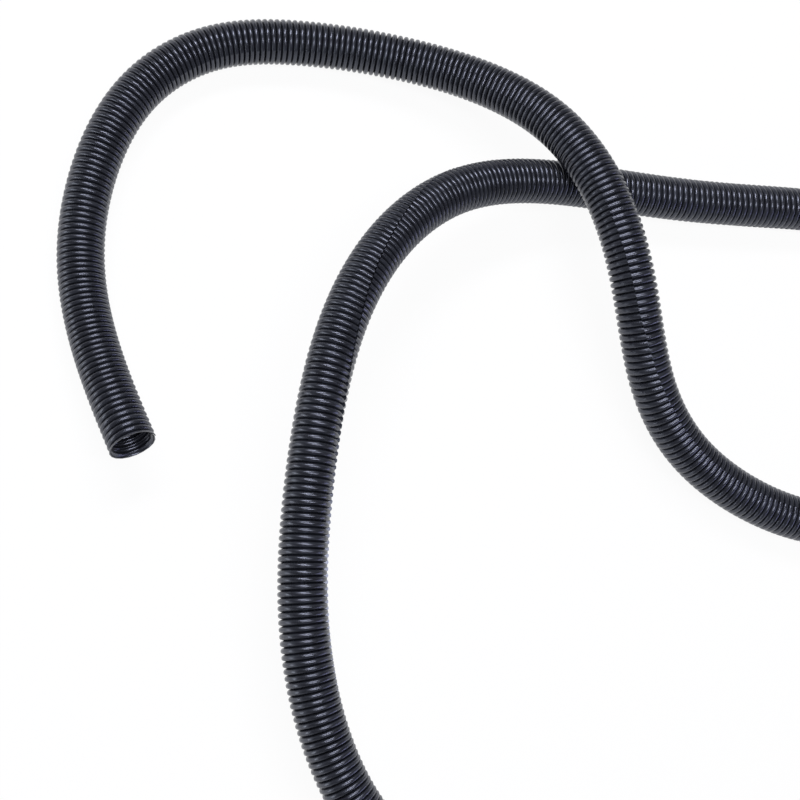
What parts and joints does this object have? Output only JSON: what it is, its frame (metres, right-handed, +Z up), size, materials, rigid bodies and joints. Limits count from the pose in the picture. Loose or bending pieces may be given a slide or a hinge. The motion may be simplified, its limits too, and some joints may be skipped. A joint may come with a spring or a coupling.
{
  "type": "split corrugated conduit",
  "caption": "Length of black corrugated cable conduit, slit along its whole length, lying in a loose open loop that crosses over itself.",
  "frame": {"origin": "middle of the part's box in X and Y, on the floor the tube lies on", "axes": "+Z up from the floor; the run with the open free end lies along -X, and the loop's far side is +Y"},
  "size_m": [0.539, 0.479, 0.0704],
  "materials": {
    "conduit_plastic": "black polypropylene, satin gloss as moulded"
  },
  "bodies": {
    "root": {"conduit": "conduit_plastic"}
  },
  "joints": []
}
